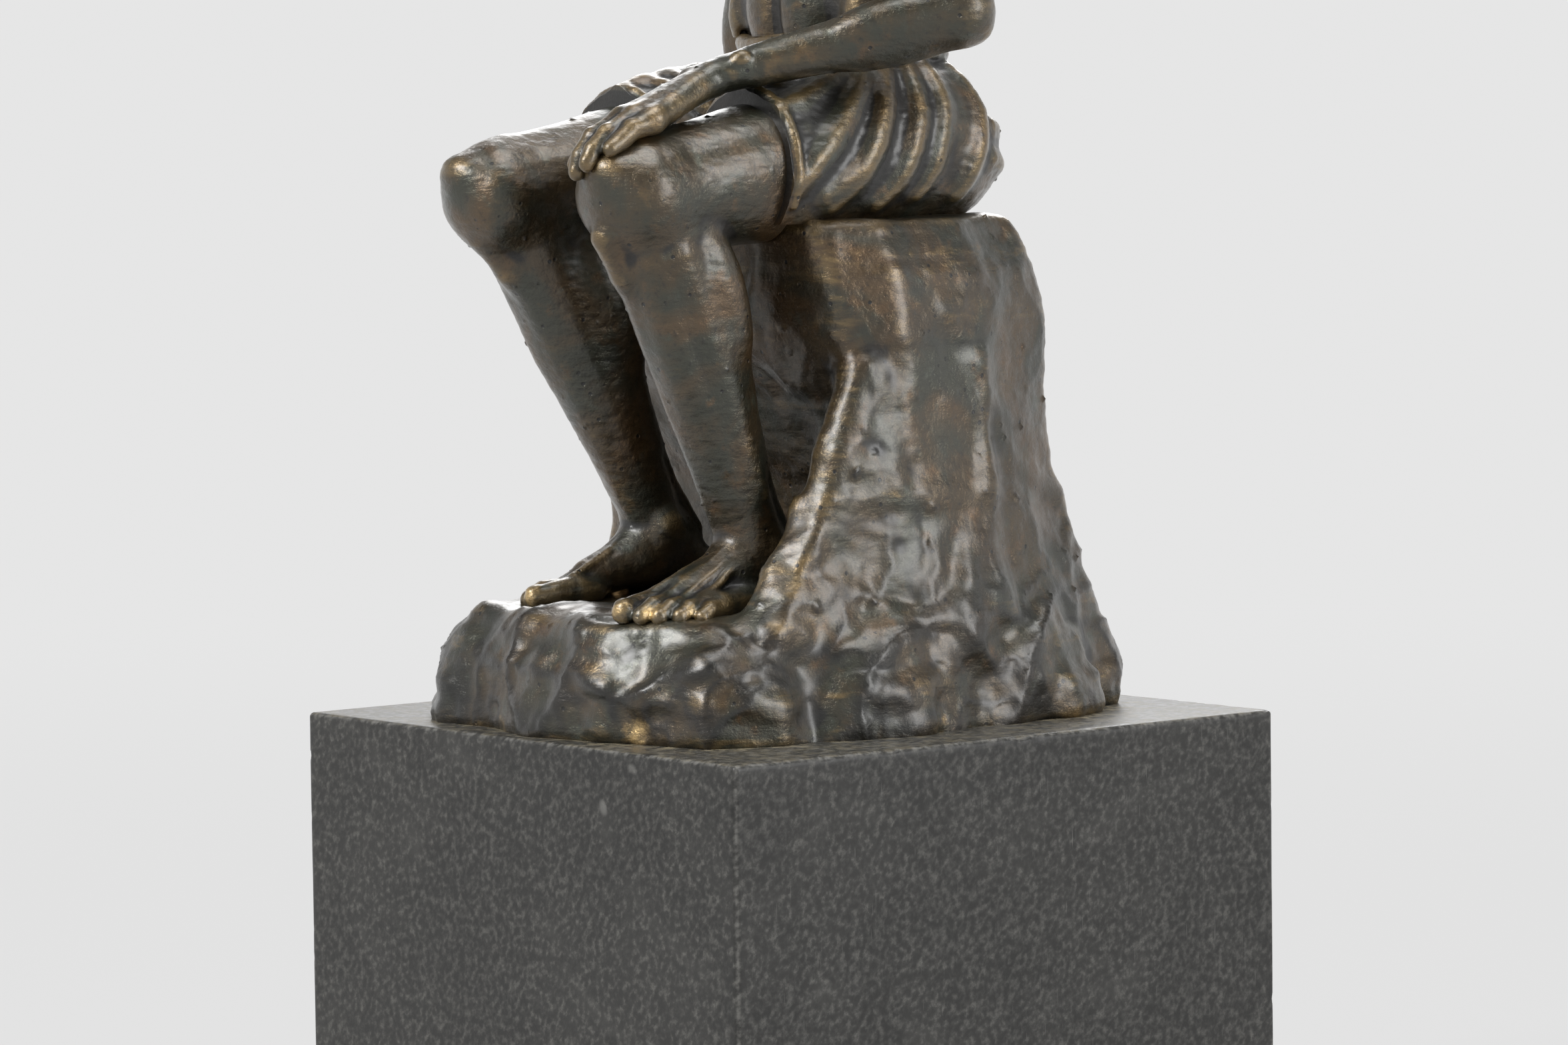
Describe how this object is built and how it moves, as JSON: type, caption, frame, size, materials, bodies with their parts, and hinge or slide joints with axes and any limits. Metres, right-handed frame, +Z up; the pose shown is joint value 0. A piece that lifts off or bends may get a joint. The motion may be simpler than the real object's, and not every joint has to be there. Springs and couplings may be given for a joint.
{
  "type": "seated figure statue",
  "caption": "Small bronze seated figure in thought, on a rough rock seat, screwed to a square dark stone plinth with a felt base.",
  "frame": {"origin": "middle of the underside of the felt pad, on the surface that the statue stands on", "axes": "+Z up, the figure faces -Y, and its own left hand is on the +X side"},
  "size_m": [0.1, 0.1, 0.2654],
  "materials": {
    "dark_stone": "honed dark grey stone with fine paler mottling",
    "felt": "dark green pressed felt",
    "patinated_bronze": "dark brown and green patina, waxed to a satin sheen",
    "raw_bronze": "raw bronze, turned or sawn",
    "zinc_steel": "zinc plated"
  },
  "bodies": {
    "root": {"plinth": "dark_stone", "felt_pad": "felt", "rock_casting": "patinated_bronze", "core_plugs": "patinated_bronze", "fixing_bar": "raw_bronze", "fixing_screws": "zinc_steel", "plain_washers": "zinc_steel", "spring_washers": "zinc_steel", "wrap_casting": "patinated_bronze", "torso_casting": "patinated_bronze", "head_casting": "patinated_bronze", "left_arm_casting": "patinated_bronze", "right_arm_casting": "patinated_bronze", "left_leg_casting": "patinated_bronze", "right_leg_casting": "patinated_bronze", "neck_dowel": "raw_bronze", "shoulder_dowels": "raw_bronze", "waist_dowels": "raw_bronze", "seat_dowels": "raw_bronze", "thigh_dowels": "raw_bronze", "foot_dowels": "raw_bronze"}
  },
  "joints": []
}
